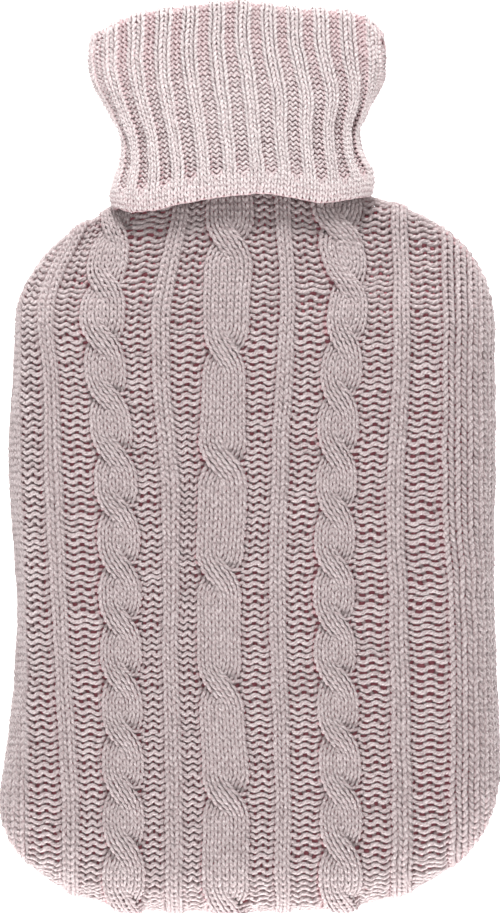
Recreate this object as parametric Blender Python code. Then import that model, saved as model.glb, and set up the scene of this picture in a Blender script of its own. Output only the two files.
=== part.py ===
"""Knitted cover for a hot water bottle, lying on its back with the roll neck folded over.

Units in the tables are millimetres; the meshes are in metres. X runs across the cover, Y from
the bottom seam to the roll neck, Z up from the surface that it lies on.
"""

import bmesh
import bpy
import numpy as np

MM = 0.001

# The body seen from the front: four rounded corners joined by two nearly straight sides.
# Each corner is a superellipse from (flat, end) to (half_width, start).
CORNERS = {
    # name:           (flat, half_width, start, end, power)
    "left_shoulder": (5.0, 96.1, 48.0, 108.7, 2.3),
    "right_shoulder": (11.0, 100.2, 52.0, 110.7, 2.3),
    "left_bottom": (31.0, 102.5, -140.7, -187.0, 2.1),
    "right_bottom": (5.0, 102.5, -123.0, -187.0, 2.5),
}
# y, x down each side, between the corners.
LEFT_SIDE = ((-140.7, -102.5), (-115.0, -98.8), (-72.0, -95.4), (5.0, -98.6), (48.0, -96.1))
RIGHT_SIDE = ((-123.0, 102.5), (-100.0, 101.6), (-45.0, 99.9), (5.0, 100.6), (52.0, 100.2))

NECK_X = -3.5  # middle of the neck
NECK_HALF = 38.0  # half-width of the neck opening between the panels
NECK_TOP = 116.0
NECK_RAMP = 8.0  # how far either side of the neck the seam climbs to it

SEAM_Z = 17.0
SEAM_GAP = 0.3
WALL = 3.0
# Depth of each panel from the seam plane, and the radius with which its edge turns down to it.
FRONT = {"side": 1.0, "rim": 19.5, "crown": 4.0, "neck": 14.0, "taper": 50.0, "round": 19.0}
BACK = {"side": -1.0, "rim": 16.85, "crown": 0.0, "neck": 9.5, "taper": 36.0, "round": 17.0}
CROWN_Y = -40.0  # the front stands highest here
CROWN_HALF = (100.0, 150.0)  # half-width and half-length of that swelling
THIN_FROM = 98.0  # the panels are at their thinnest from here up to the neck
NECK_ROUND = 52.0  # half-width of the oval that the body becomes there

# Left edge of each band of stitches at six heights down the front, and how many stitches it has.
BAND_Y = (98.0, 63.0, 36.0, -6.0, -76.0, -133.0)
BANDS = (
    # kind,    stitches, x at each BAND_Y
    ("plain", 3, (-96.0, -99.0, -99.0, -99.0, -99.0, -102.0)),
    ("ground", 2, (-80.0, -93.3, -93.7, -93.3, -91.2, -90.0)),
    ("rib", 2, (-71.0, -85.9, -84.3, -83.8, -79.7, -76.7)),
    ("ground", 2, (-65.0, -79.0, -78.1, -76.1, -73.2, -69.5)),
    ("cable", 6, (-61.0, -69.1, -67.4, -63.3, -60.9, -59.9)),
    ("ground", 2, (-48.0, -50.6, -50.2, -45.7, -44.1, -42.6)),
    ("rib", 2, (-31.5, -39.5, -39.6, -36.3, -35.5, -34.2)),
    ("ground", 2, (-24.5, -31.7, -32.2, -28.5, -28.9, -27.0)),
    ("cable", 6, (-17.5, -19.1, -19.1, -20.7, -21.5, -19.0)),
    ("ground", 2, (1.5, 0.3, -1.4, -1.0, -3.5, -0.2)),
    ("rib", 2, (10.5, 12.7, 10.9, 8.8, 8.4, 10.5)),
    ("ground", 2, (17.0, 19.0, 17.8, 15.8, 15.4, 16.8)),
    ("cable", 6, (25.3, 32.2, 28.9, 27.2, 26.4, 28.5)),
    ("ground", 2, (45.7, 48.6, 45.7, 43.7, 43.3, 45.7)),
    ("rib", 2, (58.0, 58.8, 58.4, 56.0, 57.2, 58.0)),
    ("ground", 2, (65.0, 65.6, 65.4, 63.3, 65.0, 66.6)),
    ("plain", 6, (78.0, 78.5, 78.5, 78.5, 81.4, 82.0)),
)
RIB_RISE = 1.3
PLAIN_RISE = 0.6
RELIEF_FADE = 7.0  # the relief dies away over this distance from the seam

# Each cable crosses three stitches over three, the front strand running down to the right.
CABLE_RISE = 2.6
CROSSING_RISE = 0.9
CABLE_STITCHES = 6
STRAND_HALF = 2.1  # half-width of a strand, in stitches
# How far to either side of a crossing the strands change over, and are lifted.
CROSSING_REACH = 7.5
LIFT_REACH = 4.0
SIDE_CABLE = {"first": 92.9, "pitch": 22.96}
MIDDLE_CABLE = {"first": 87.5, "pitch": 45.2}

# The collar's outer layer: y, left, right, half-depth, how evenly the ribs are spread round it,
# and how many stitches they have drifted round it.
COLLAR = (
    (103.0, -58.8, 52.8, 21.0, 0.85, 2.2),
    (113.0, -56.6, 50.6, 21.5, 0.8, 2.2),
    (121.0, -54.0, 47.2, 21.8, 0.65, 2.1),
    (129.0, -53.1, 46.0, 22.0, 0.5, 1.9),
    (146.0, -59.6, 51.8, 22.0, 0.7, 1.4),
    (162.0, -65.8, 55.9, 22.0, 1.1, 0.9),
    (187.0, -65.8, 55.9, 20.0, 1.2, 0.8),
)
# The layer under it, which rises from the neck: y, half-width, half-depth.
INNER_COLLAR = ((116.3, 42.0, 12.0), (130.0, 44.0, 14.5), (150.0, 50.0, 15.5))
COLLAR_Z = 22.0  # height of the middle of the collar, and of where it starts at the neck
COLLAR_NECK_Z = 19.0
INNER_CLIMB = 25.0  # over how much of its length the inner layer climbs from one to the other
INNER_EVEN = 0.8
COLLAR_TOP = 187.3
COLLAR_WALL = 4.0
FOLD = 4.5  # radius of the fold
RIB_REPEATS = 24
COLLAR_RIB_RISE = 1.2
# The cast-off edge is wavy: x and y along the front, and level behind.
HEM = (
    (-60.0, 104.0),
    (-47.0, 101.2),
    (-22.0, 106.0),
    (0.0, 108.4),
    (16.0, 107.2),
    (30.0, 105.4),
    (54.0, 110.6),
)
BACK_HEM_Y = 114.0
# How far the fold drops from its peak to each end: a slope that may flatten, then a rounded corner.
FOLD_X = -3.5
FOLD_HALF = 62.0
LEFT_DROP = {"slope": 7.0, "flatten": 1.0, "corner": 9.0, "power": 5}
RIGHT_DROP = {"slope": 5.8, "flatten": 0.6, "corner": 34.0, "power": 14}

# Where the meshes have their points. Distances in from the seam, then even steps between.
NEAR_SEAM = (0.0, 0.3, 1.3, 3.2, 6.0, 9.5, 13.5, 18.5)
FRONT_ROWS = 64
BACK_ROWS = 28
# Stitches into each band, and shares of the two outermost bands, close where the edge turns.
BAND_COLUMNS = {
    "rib": (0.0, 0.35, 1.65),
    "ground": (0.0, 0.7, 1.4),
    "cable": (0.05, 0.9, 1.9, 3.0, 4.1, 5.1, 5.95),
}
LEFT_COLUMNS = (0.0, 0.04, 0.16, 0.36, 0.64)
RIGHT_COLUMNS = (0.0, 0.1, 0.35, 0.58, 0.76, 0.88, 0.95, 0.99, 1.0)
# Shares of the back's width from its left edge to its middle.
BACK_COLUMNS = (0.0, 0.002, 0.01, 0.025, 0.06, 0.12, 0.2, 0.3, 0.32, 0.35, 0.4, 0.5)
# Stitches into each repeat of the collar's rib, and how raised each of them is.
RIB_COLUMNS = ((0.3, 1.0), (1.7, 1.0), (2.3, 0.0), (3.7, 0.0))
# Shares of the way from the hem to the fold, outside and inside the outer layer.
OUTER_SHARES = (0.03, 0.16, 0.3, 0.44, 0.58, 0.72, 0.86, 1.0)
LINING_SHARES = (0.72, 0.44, 0.2, 0.0)
HEM_INSET = 0.8  # the hem's edge is rounded in by this much
FOLD_TURNS = (45.0, 90.0, 135.0, 180.0)
COLLAR_STITCHES = 96


def clear_scene():
    for obj in list(bpy.data.objects):
        bpy.data.objects.remove(obj, do_unlink=True)


def curve(rows, at, column=1):
    """A smooth line through one column of a table, read at the first column's values."""
    xs = np.array([row[0] for row in rows], float)
    ys = np.array([row[column] for row in rows], float)
    slopes = np.gradient(ys, xs)
    at = np.clip(at, xs[0], xs[-1])
    i = np.clip(np.searchsorted(xs, at) - 1, 0, len(xs) - 2)
    h = xs[i + 1] - xs[i]
    t = (at - xs[i]) / h
    return (
        (2 * t**3 - 3 * t**2 + 1) * ys[i]
        + (t**3 - 2 * t**2 + t) * h * slopes[i]
        + (3 * t**2 - 2 * t**3) * ys[i + 1]
        + (t**3 - t**2) * h * slopes[i + 1]
    )


def smooth(t):
    t = np.clip(t, 0.0, 1.0)
    return t * t * (3 - 2 * t)


# ---- outline of the body ------------------------------------------------------------------


def corner_y(name, x):
    """Height of a corner's curve at x."""
    flat, half_width, start, end, power = CORNERS[name]
    t = np.clip((np.abs(x) - flat) / (half_width - flat), 0.0, 1.0)
    return start + (end - start) * (1 - t**power) ** (1 / power)


def bottom_y(x):
    return np.where(x < 0, corner_y("left_bottom", x), corner_y("right_bottom", x))


def shoulder_y(x):
    return np.where(x < 0, corner_y("left_shoulder", x), corner_y("right_shoulder", x))


def top_y(x):
    """The upper edge of a panel: the neck opening, a ramp, then the shoulder."""
    out = np.abs(x - NECK_X) - NECK_HALF
    return shoulder_y(x) + (NECK_TOP - shoulder_y(x)) * smooth(1 - out / NECK_RAMP)


def side_x(y):
    """Left and right edges at height y, the sides running straight on past the corners."""
    return curve(LEFT_SIDE, y), curve(RIGHT_SIDE, y)


def edge_distance(x, y):
    """About how far (x, y) lies inside the seam."""
    left, right = side_x(y)
    samples = np.linspace(0.0, 1.0, 400)
    for name, (flat, half_width, start, end, _) in CORNERS.items():
        sign = -1.0 if name.startswith("left") else 1.0
        xs = sign * (flat + (half_width - flat) * samples)
        ys = bottom_y(xs) if name.endswith("bottom") else top_y(xs)
        order = np.argsort(ys)
        past = (y - start) * (end - start) > 0
        at = np.interp(np.minimum(y, NECK_TOP - 0.05), ys[order], xs[order])
        if sign < 0:
            left = np.where(past, at, left)
        else:
            right = np.where(past, at, right)
    across = np.maximum(np.minimum(x - left, right - x), 0.0)
    open_neck = 2.0 * np.maximum(NECK_HALF - np.abs(x - NECK_X), 0.0)
    along = np.maximum(np.minimum(y - bottom_y(x), top_y(x) + open_neck - y), 0.0)
    return across * along / np.maximum(np.hypot(across, along), 1e-6)


def panel_depth(panel, x, y):
    """How far a panel's smooth outer face lies from the seam plane."""
    near_neck = smooth((y - (THIN_FROM - panel["taper"])) / panel["taper"])
    rim = panel["rim"] + (panel["neck"] - panel["rim"]) * near_neck
    half_width, half_length = CROWN_HALF
    swell = 1 - (x / half_width) ** 2 - ((y - CROWN_Y) / half_length) ** 4
    crown = panel["crown"] * (1 - near_neck) * np.clip(swell, 0.0, 1.0)
    oval = np.sqrt(1 - np.clip(((x - NECK_X) / NECK_ROUND) ** 2, 0.0, 0.9))
    rim *= 1 - near_neck * (1 - oval)
    t = np.clip(edge_distance(x, y) / panel["round"], 0.0, 1.0)
    return (rim + crown) * np.sqrt(1 - (1 - t) ** 2)


def panel_face(panel, x, y):
    """Points of the smooth outer face and its unit normals."""
    step = 0.2
    depth = panel_depth(panel, x, y)
    # The slopes are taken just inside the seam, where the depth still varies.
    inside_x = x * 0.997
    inside_y = y + (CROWN_Y - y) * 0.003
    right = panel_depth(panel, inside_x + step, inside_y)
    left = panel_depth(panel, inside_x - step, inside_y)
    above = panel_depth(panel, inside_x, inside_y + step)
    below = panel_depth(panel, inside_x, inside_y - step)
    slope_x = (right - left) / (2 * step)
    slope_y = (above - below) / (2 * step)
    at_neck = y > NECK_TOP - 0.01
    slope_y = np.where(at_neck & (depth > 1.0), 0.0, slope_y)
    normal = np.stack([-slope_x, -slope_y, np.ones_like(x)], -1)
    normal /= np.linalg.norm(normal, axis=-1, keepdims=True)
    at_seam = edge_distance(x, y) < 0.01
    flat = normal.copy()
    flat[..., 2] = 0.0
    flat /= np.maximum(np.linalg.norm(flat, axis=-1, keepdims=True), 1e-6)
    normal = np.where(at_seam[..., None], flat, normal)
    normal[..., 2] *= panel["side"]
    seam = SEAM_Z + panel["side"] * SEAM_GAP / 2
    points = np.stack([x, y, seam + panel["side"] * depth], -1)
    return points, normal


# ---- the front's stitches -----------------------------------------------------------------


def band_starts():
    """First stitch number of each band, and one past the last."""
    return np.concatenate([[0], np.cumsum([count for _, count, _ in BANDS])])


def stitch_x(stitch, y):
    """x of a stitch number at height y, before the sides take over."""
    starts = band_starts()
    left, right = side_x(y)
    between = [curve(tuple(zip(BAND_Y[::-1], xs[::-1])), y) for _, _, xs in BANDS[1:]]
    edges = np.stack([left, *between, right], -1)
    band = np.clip(np.searchsorted(starts, stitch, side="right") - 1, 0, len(BANDS) - 1)
    low = np.take_along_axis(edges, band[..., None], -1)[..., 0]
    high = np.take_along_axis(edges, band[..., None] + 1, -1)[..., 0]
    share = (stitch - starts[band]) / (starts[band + 1] - starts[band])
    return low + (high - low) * share


def strand_rise(stitch_in, past):
    """Relief of a cable, stitch_in from its left edge and a distance past its nearest crossing."""
    over = smooth(0.5 + past / (2 * CROSSING_REACH)) * 2 - 1
    front = (stitch_in - CABLE_STITCHES * (0.5 + 0.25 * over)) / STRAND_HALF
    behind = (stitch_in - CABLE_STITCHES * (0.5 - 0.25 * over)) / STRAND_HALF
    lift = CROSSING_RISE * np.exp(-((past / LIFT_REACH) ** 2))
    front_rise = (CABLE_RISE + lift) * np.sqrt(np.clip(1 - front**2, 0, 1))
    behind_rise = (CABLE_RISE - lift) * np.sqrt(np.clip(1 - behind**2, 0, 1))
    return np.maximum(front_rise, behind_rise)


def relief(stitch, y):
    """How far the bands stand out from the ground."""
    rise = np.zeros_like(y)
    starts = band_starts()
    for i, (kind, _, _) in enumerate(BANDS):
        inside = (stitch > starts[i]) & (stitch < starts[i + 1])
        if kind == "rib":
            rise = np.where(inside, RIB_RISE, rise)
        elif kind == "plain":
            rise = np.where(inside, PLAIN_RISE, rise)
        elif kind == "cable":
            cable = MIDDLE_CABLE if i == len(BANDS) // 2 else SIDE_CABLE
            below = cable["first"] - y
            past = below - cable["pitch"] * np.round(below / cable["pitch"])
            rise = np.where(inside, strand_rise(stitch - starts[i], past), rise)
    return rise


# ---- meshes -------------------------------------------------------------------------------


def column_stitches():
    """Stitch numbers of the front's mesh columns."""
    starts = band_starts()
    stitches = [starts[1] * share for share in LEFT_COLUMNS]
    for i, (kind, _, _) in enumerate(BANDS[1:-1], start=1):
        stitches += [starts[i] + within for within in BAND_COLUMNS[kind]]
    stitches += [starts[-2] + (starts[-1] - starts[-2]) * share for share in RIGHT_COLUMNS]
    return np.array(stitches, float)


def back_stitches():
    """Stitch numbers of the back's mesh columns, the same on either side of the middle."""
    half = np.array(BACK_COLUMNS)
    return band_starts()[-1] * np.concatenate([half, 1 - half[-2::-1]])


def column_points(stitches, rows):
    """x and y of the mesh's points: each column runs along its stitches from edge to edge."""
    low = np.full(len(stitches), LEFT_SIDE[0][0])
    high = np.full(len(stitches), LEFT_SIDE[-1][0])
    for _ in range(40):
        low = 0.5 * low + 0.5 * bottom_y(stitch_x(stitches, low))
        high = 0.5 * high + 0.5 * top_y(stitch_x(stitches, high))
    near = np.array(NEAR_SEAM)
    between = np.linspace(0.0, 1.0, rows - 2 * len(near) + 2)[1:-1]
    first = low + near[-1]
    middle = first[:, None] + (high - near[-1] - first)[:, None] * between
    ys = np.hstack([low[:, None] + near, middle, high[:, None] - near[::-1]])
    xs = stitch_x(np.repeat(stitches[:, None], rows, 1), ys)
    return xs, ys


def material(name, colour):
    """Matt yarn: the colour is linear RGB."""
    mat = bpy.data.materials.new(name)
    mat.use_nodes = True
    shader = mat.node_tree.nodes["Principled BSDF"]
    shader.inputs["Base Color"].default_value = (*colour, 1.0)
    shader.inputs["Roughness"].default_value = 0.9
    shader.inputs["Metallic"].default_value = 0.0
    return mat


def object_from(bm, name, mat):
    bmesh.ops.recalc_face_normals(bm, faces=bm.faces)
    mesh = bpy.data.meshes.new(name)
    bm.to_mesh(mesh)
    bm.free()
    mesh.shade_smooth()
    mesh.set_sharp_from_angle(angle=np.radians(50))
    mesh.materials.append(mat)
    obj = bpy.data.objects.new(name, mesh)
    bpy.context.scene.collection.objects.link(obj)
    return obj


def grid_faces(bm, grid):
    for i in range(len(grid) - 1):
        for j in range(len(grid[0]) - 1):
            bm.faces.new((grid[i][j], grid[i + 1][j], grid[i + 1][j + 1], grid[i][j + 1]))


def rim_faces(bm, outer, inner, picks):
    """Joins a long row of points to a short one, whose points stand at the picks of the long one."""
    for k in range(len(picks) - 1):
        a, b = picks[k], picks[k + 1]
        for m in range(a, b):
            bm.faces.new((inner[k], outer[m], outer[m + 1]))
        bm.faces.new((inner[k], outer[b], inner[k + 1]))


def every(count, step):
    """Every step-th index of count, and the two at each end."""
    return sorted(set(range(0, count, step)) | {1, count - 2, count - 1})


def panel_object(name, panel, stitches, rows, raised, inner_step, mat):
    """A knitted panel: an outer face with its relief, a plain inner face, and the rim between."""
    xs, ys = column_points(stitches, rows)
    points, normals = panel_face(panel, xs, ys)
    rise = np.zeros_like(xs)
    if raised:
        fade = smooth(edge_distance(xs, ys) / RELIEF_FADE) * smooth((NECK_TOP - ys) / RELIEF_FADE)
        rise = relief(np.repeat(stitches[:, None], rows, 1), ys) * fade
    outer = (points + normals * rise[..., None]) * MM
    columns = every(len(stitches), inner_step)
    lines = every(rows, inner_step)
    inner = (points - normals * WALL)[np.ix_(columns, lines)]
    seam = SEAM_Z + panel["side"] * SEAM_GAP / 2
    beyond = np.maximum((inner[..., 2] - seam) * panel["side"], 0.0)
    inner[..., 2] = seam + beyond * panel["side"]
    inner *= MM

    bm = bmesh.new()
    outer_verts = [[bm.verts.new(p) for p in column] for column in outer]
    inner_verts = [[bm.verts.new(p) for p in column] for column in inner]
    grid_faces(bm, outer_verts)
    grid_faces(bm, inner_verts)
    for i, k in ((0, 0), (-1, -1)):
        rim_faces(bm, outer_verts[i], inner_verts[k], lines)
        rim_faces(bm, [c[i] for c in outer_verts], [c[k] for c in inner_verts], columns)
    return object_from(bm, name, mat)


# ---- the collar ---------------------------------------------------------------------------


def ring_angles(half_width, half_depth, evenness, count):
    """Angles round an oval ring: from equal steps of angle to equal steps along the ring."""
    fine = np.linspace(0.0, 2 * np.pi, 721)
    lengths = np.hypot(np.diff(half_width * np.cos(fine)), np.diff(half_depth * np.sin(fine)))
    along = np.concatenate([[0.0], np.cumsum(lengths)])
    even = np.interp(np.arange(count) / count * along[-1], along, fine)
    plain = np.arange(count) / count * 2 * np.pi
    return plain + (even - plain) * evenness


def ring_points(y, left, right, half_depth, evenness, z, shares, inset, rise):
    """One ring of the collar: y may differ from point to point."""
    half_width = 0.5 * (right - left)
    round_once = np.arange(COLLAR_STITCHES + 1) / COLLAR_STITCHES
    stitch_angles = ring_angles(half_width, half_depth, evenness, COLLAR_STITCHES)
    angles = np.interp(shares, round_once, np.append(stitch_angles, 2 * np.pi))
    cos, sin = np.cos(angles), np.sin(angles)
    normal = np.stack([cos * half_depth, sin * half_width], -1)
    normal /= np.linalg.norm(normal, axis=-1, keepdims=True)
    x = 0.5 * (left + right) + half_width * cos + normal[:, 0] * (rise - inset)
    height = z + half_depth * sin + normal[:, 1] * (rise - inset)
    return np.stack([x, y, np.maximum(height, inset)], -1)


def fold_top(x):
    """Height of the fold at x: it drops towards each end."""
    out = np.abs(x - FOLD_X) / FOLD_HALF
    drops = [
        drop["slope"] * out ** drop["flatten"] + drop["corner"] * out ** drop["power"]
        for drop in (LEFT_DROP, RIGHT_DROP)
    ]
    return COLLAR_TOP - np.where(x < FOLD_X, *drops)


def hem_y(x, sin):
    """The hem at x: wavy in front, and turning to its level at the back below the middle."""
    front = curve(HEM, x)
    return BACK_HEM_Y + (front - BACK_HEM_Y) * smooth(1 + 2 * np.minimum(sin, 0.0))


def rib_places():
    """Places round the collar of the mesh's columns, and how raised each is: two up, two down."""
    repeat = COLLAR_STITCHES // RIB_REPEATS
    places = []
    raised = []
    for k in range(RIB_REPEATS):
        for stitch, up in RIB_COLUMNS:
            places.append((k * repeat + stitch - 1.0) / COLLAR_STITCHES)
            raised.append(up)
    return np.array(places) % 1.0, np.array(raised)


def outer_ring(share, places, rise, inset):
    """A ring of the folded-down layer, share of the way from the hem to the fold."""
    mid = COLLAR[0][0] + (COLLAR_TOP - 2 * FOLD - COLLAR[0][0]) * share
    left, right, depth, even, turn = (float(curve(COLLAR, mid, column)) for column in range(1, 6))
    places = (places - turn / COLLAR_STITCHES) % 1.0
    rough = ring_points(0 * places, left, right, depth, even, COLLAR_Z, places, inset, 0.0)
    low = hem_y(rough[:, 0], (rough[:, 2] - COLLAR_Z) / depth)
    high = fold_top(rough[:, 0]) - FOLD
    y = low + (high - low) * share
    return ring_points(y, left, right, depth, even, COLLAR_Z, places, inset, rise)


def inner_ring(row, places, inset):
    """A ring of the layer under it, which rises from the neck."""
    y, half_width, half_depth = row
    z = COLLAR_NECK_Z + (COLLAR_Z - COLLAR_NECK_Z) * smooth((y - NECK_TOP) / INNER_CLIMB)
    left, right = NECK_X - half_width, NECK_X + half_width
    places = (places - COLLAR[-1][-1] / COLLAR_STITCHES) % 1.0
    return ring_points(0 * places + y, left, right, half_depth, INNER_EVEN, z, places, inset, 0.0)


def collar_object(mat):
    """The collar's loop of rings: up the outside, over the fold, down inside, and back again."""
    places, raised = rib_places()
    rings = [outer_ring(0.0, places, 0.3 * raised * COLLAR_RIB_RISE, HEM_INSET)]
    rings += [outer_ring(share, places, raised * COLLAR_RIB_RISE, 0.0) for share in OUTER_SHARES]
    edge = rings[-1]
    centre = outer_ring(1.0, places, 0.0, FOLD)
    for turn in np.radians(FOLD_TURNS):
        ring = centre + (edge - centre) * np.cos(turn)
        ring[:, 1] = centre[:, 1] + FOLD * np.sin(turn)
        rings.append(ring)
    rings += [inner_ring(row, places, COLLAR_WALL) for row in INNER_COLLAR[::-1]]
    rings += [inner_ring(row, places, 0.0) for row in INNER_COLLAR]
    # The two layers' walls meet in a narrow U below the fold.
    rings += [outer_ring(1.0, places, 0.0, COLLAR_WALL + inset) for inset in (0.8, 0.2)]
    rings += [outer_ring(share, places, 0.0, COLLAR_WALL) for share in LINING_SHARES]

    bm = bmesh.new()
    verts = [[bm.verts.new(p * MM) for p in ring] for ring in rings]
    count = len(places)
    for i, ring in enumerate(verts):
        after = verts[(i + 1) % len(verts)]
        for j in range(count):
            k = (j + 1) % count
            bm.faces.new((ring[j], ring[k], after[k], after[j]))
    return object_from(bm, "collar", mat)


def main():
    clear_scene()
    front_yarn = material("pale pink yarn", (0.60, 0.50, 0.50))
    back_yarn = material("pale pink yarn, back", (0.56, 0.46, 0.46))
    collar_yarn = material("pale pink yarn, collar", (0.72, 0.60, 0.61))
    panel_object("front_panel", FRONT, column_stitches(), FRONT_ROWS, True, 4, front_yarn)
    panel_object("back_panel", BACK, back_stitches(), BACK_ROWS, False, 2, back_yarn)
    collar_object(collar_yarn)


main()
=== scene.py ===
# %% [markdown]
# # A knitted cover for a hot water bottle
# The real cover is a soft tube of chunky pink yarn. Three cables, four narrow ribs and two plain
# side bands run down its front, and a ribbed roll neck folds over at the top. A picture of knitting
# on a smooth skin would look like wallpaper, so here the yarn itself is modelled: each course, which
# is one row of stitches, is one long tube that loops through its neighbours as real yarn does.

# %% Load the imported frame
import bpy
import numpy as np
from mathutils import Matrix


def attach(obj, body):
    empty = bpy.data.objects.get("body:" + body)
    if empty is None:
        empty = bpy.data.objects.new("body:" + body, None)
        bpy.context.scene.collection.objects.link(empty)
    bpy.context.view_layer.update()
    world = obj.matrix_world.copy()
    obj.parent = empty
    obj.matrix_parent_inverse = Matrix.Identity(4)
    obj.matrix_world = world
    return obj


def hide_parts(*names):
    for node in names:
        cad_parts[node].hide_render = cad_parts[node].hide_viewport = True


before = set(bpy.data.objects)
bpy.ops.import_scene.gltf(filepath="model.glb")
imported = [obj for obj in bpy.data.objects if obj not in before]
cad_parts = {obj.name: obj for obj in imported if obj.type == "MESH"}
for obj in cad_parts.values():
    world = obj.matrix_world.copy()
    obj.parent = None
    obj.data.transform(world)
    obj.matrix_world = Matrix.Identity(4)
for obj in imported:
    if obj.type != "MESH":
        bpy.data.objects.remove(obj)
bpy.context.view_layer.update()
bpy.ops.object.select_all(action="DESELECT")
MM = 0.001
rng = np.random.default_rng(11)

# %% [markdown]
# ## The form of the body
# The bottle inside gives the cover its shape: an outline with four rounded corners, and a pillow
# section whose edge turns down to the seam in a quarter round. The same few sizes are in the solid
# that this model dresses, so the yarn lies exactly where the solid is. All of them are millimetres.

# %% Sizes of the body
CORNERS = {
    # name:           (flat, half_width, start, end, power)
    "left_shoulder": (5.0, 96.1, 48.0, 108.7, 2.3),
    "right_shoulder": (11.0, 100.2, 52.0, 110.7, 2.3),
    "left_bottom": (31.0, 102.5, -140.7, -187.0, 2.1),
    "right_bottom": (5.0, 102.5, -123.0, -187.0, 2.5),
}
LEFT_SIDE = ((-140.7, -102.5), (-115.0, -98.8), (-72.0, -95.4), (5.0, -98.6), (48.0, -96.1))
RIGHT_SIDE = ((-123.0, 102.5), (-100.0, 101.6), (-45.0, 99.9), (5.0, 100.6), (52.0, 100.2))
NECK_X = -3.5
NECK_HALF = 38.0
NECK_TOP = 116.0
NECK_RAMP = 8.0
SEAM_Z = 17.0
FRONT = {"side": 1.0, "rim": 19.5, "crown": 4.0, "neck": 14.0, "taper": 50.0, "round": 19.0}
BACK = {"side": -1.0, "rim": 16.85, "crown": 0.0, "neck": 9.5, "taper": 36.0, "round": 17.0}
CROWN_Y = -40.0
CROWN_HALF = (100.0, 150.0)
THIN_FROM = 98.0
NECK_ROUND = 52.0  # half the width of the oval that the neck's section follows
OUTLINE_STEPS = 400


# %% Curves and the outline
def curve(rows, at, column=1):
    """A smooth line through one column of a table, read at the first column's values."""
    xs = np.array([row[0] for row in rows], float)
    ys = np.array([row[column] for row in rows], float)
    slopes = np.gradient(ys, xs)
    at = np.clip(at, xs[0], xs[-1])
    i = np.clip(np.searchsorted(xs, at) - 1, 0, len(xs) - 2)
    h = xs[i + 1] - xs[i]
    t = (at - xs[i]) / h
    return (
        (2 * t**3 - 3 * t**2 + 1) * ys[i]
        + (t**3 - 2 * t**2 + t) * h * slopes[i]
        + (3 * t**2 - 2 * t**3) * ys[i + 1]
        + (t**3 - t**2) * h * slopes[i + 1]
    )


def smooth(t):
    t = np.clip(t, 0.0, 1.0)
    return t * t * (3 - 2 * t)


def unit(vectors):
    return vectors / np.maximum(np.linalg.norm(vectors, axis=-1, keepdims=True), 1e-9)


def path_lengths(points):
    """The length of a path up to each of its points."""
    return np.concatenate([[0.0], np.cumsum(np.linalg.norm(np.diff(points, axis=0), axis=1))])


def points_at(at, along, points):
    """Points of a path, read at other places along it."""
    return np.stack([np.interp(at, along, column) for column in points.T], -1)


def corner_y(name, x):
    flat, half_width, start, end, power = CORNERS[name]
    t = np.clip((np.abs(x) - flat) / (half_width - flat), 0.0, 1.0)
    return start + (end - start) * (1 - t**power) ** (1 / power)


def bottom_y(x):
    return np.where(x < 0, corner_y("left_bottom", x), corner_y("right_bottom", x))


def top_y(x):
    shoulder = np.where(x < 0, corner_y("left_shoulder", x), corner_y("right_shoulder", x))
    out = np.abs(x - NECK_X) - NECK_HALF
    return shoulder + (NECK_TOP - shoulder) * smooth(1 - out / NECK_RAMP)


def side_x(y):
    return curve(LEFT_SIDE, y), curve(RIGHT_SIDE, y)


def edge_distance(x, y):
    """About how far (x, y) lies inside the seam."""
    left, right = side_x(y)
    samples = np.linspace(0.0, 1.0, OUTLINE_STEPS)
    for name, (flat, half_width, start, end, _) in CORNERS.items():
        sign = -1.0 if name.startswith("left") else 1.0
        xs = sign * (flat + (half_width - flat) * samples)
        ys = bottom_y(xs) if name.endswith("bottom") else top_y(xs)
        order = np.argsort(ys)
        past = (y - start) * (end - start) > 0
        at = np.interp(np.minimum(y, NECK_TOP - 0.05), ys[order], xs[order])
        if sign < 0:
            left = np.where(past, at, left)
        else:
            right = np.where(past, at, right)
    across = np.maximum(np.minimum(x - left, right - x), 0.0)
    open_neck = 2.0 * np.maximum(NECK_HALF - np.abs(x - NECK_X), 0.0)
    along = np.maximum(np.minimum(y - bottom_y(x), top_y(x) + open_neck - y), 0.0)
    return across * along / np.maximum(np.hypot(across, along), 1e-6)


def panel_point(panel, x, y):
    """The smooth outer face of a panel, as points in millimetres."""
    near_neck = smooth((y - (THIN_FROM - panel["taper"])) / panel["taper"])
    rim = panel["rim"] + (panel["neck"] - panel["rim"]) * near_neck
    half_width, half_length = CROWN_HALF
    swell = 1 - (x / half_width) ** 2 - ((y - CROWN_Y) / half_length) ** 4
    crown = panel["crown"] * (1 - near_neck) * np.clip(swell, 0.0, 1.0)
    oval = np.sqrt(1 - np.clip(((x - NECK_X) / NECK_ROUND) ** 2, 0.0, 0.9))
    rim = rim * (1 - near_neck * (1 - oval))
    t = np.clip(edge_distance(x, y) / panel["round"], 0.0, 1.0)
    depth = (rim + crown) * np.sqrt(1 - (1 - t) ** 2)
    return np.stack([x, y, SEAM_Z + panel["side"] * depth], -1)


print("bottom at", round(float(bottom_y(np.array(0.0))), 1), "mm")

# %% [markdown]
# ## The bands of stitches
# A wale is a column of stitches. The front has 53 of them in bands: knit ribs and cables stand out,
# and pairs of purl wales between them lie low. The table gives each band's left edge at six heights,
# because the cloth is stretched over the shoulders and spreads again towards the bottom.

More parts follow.
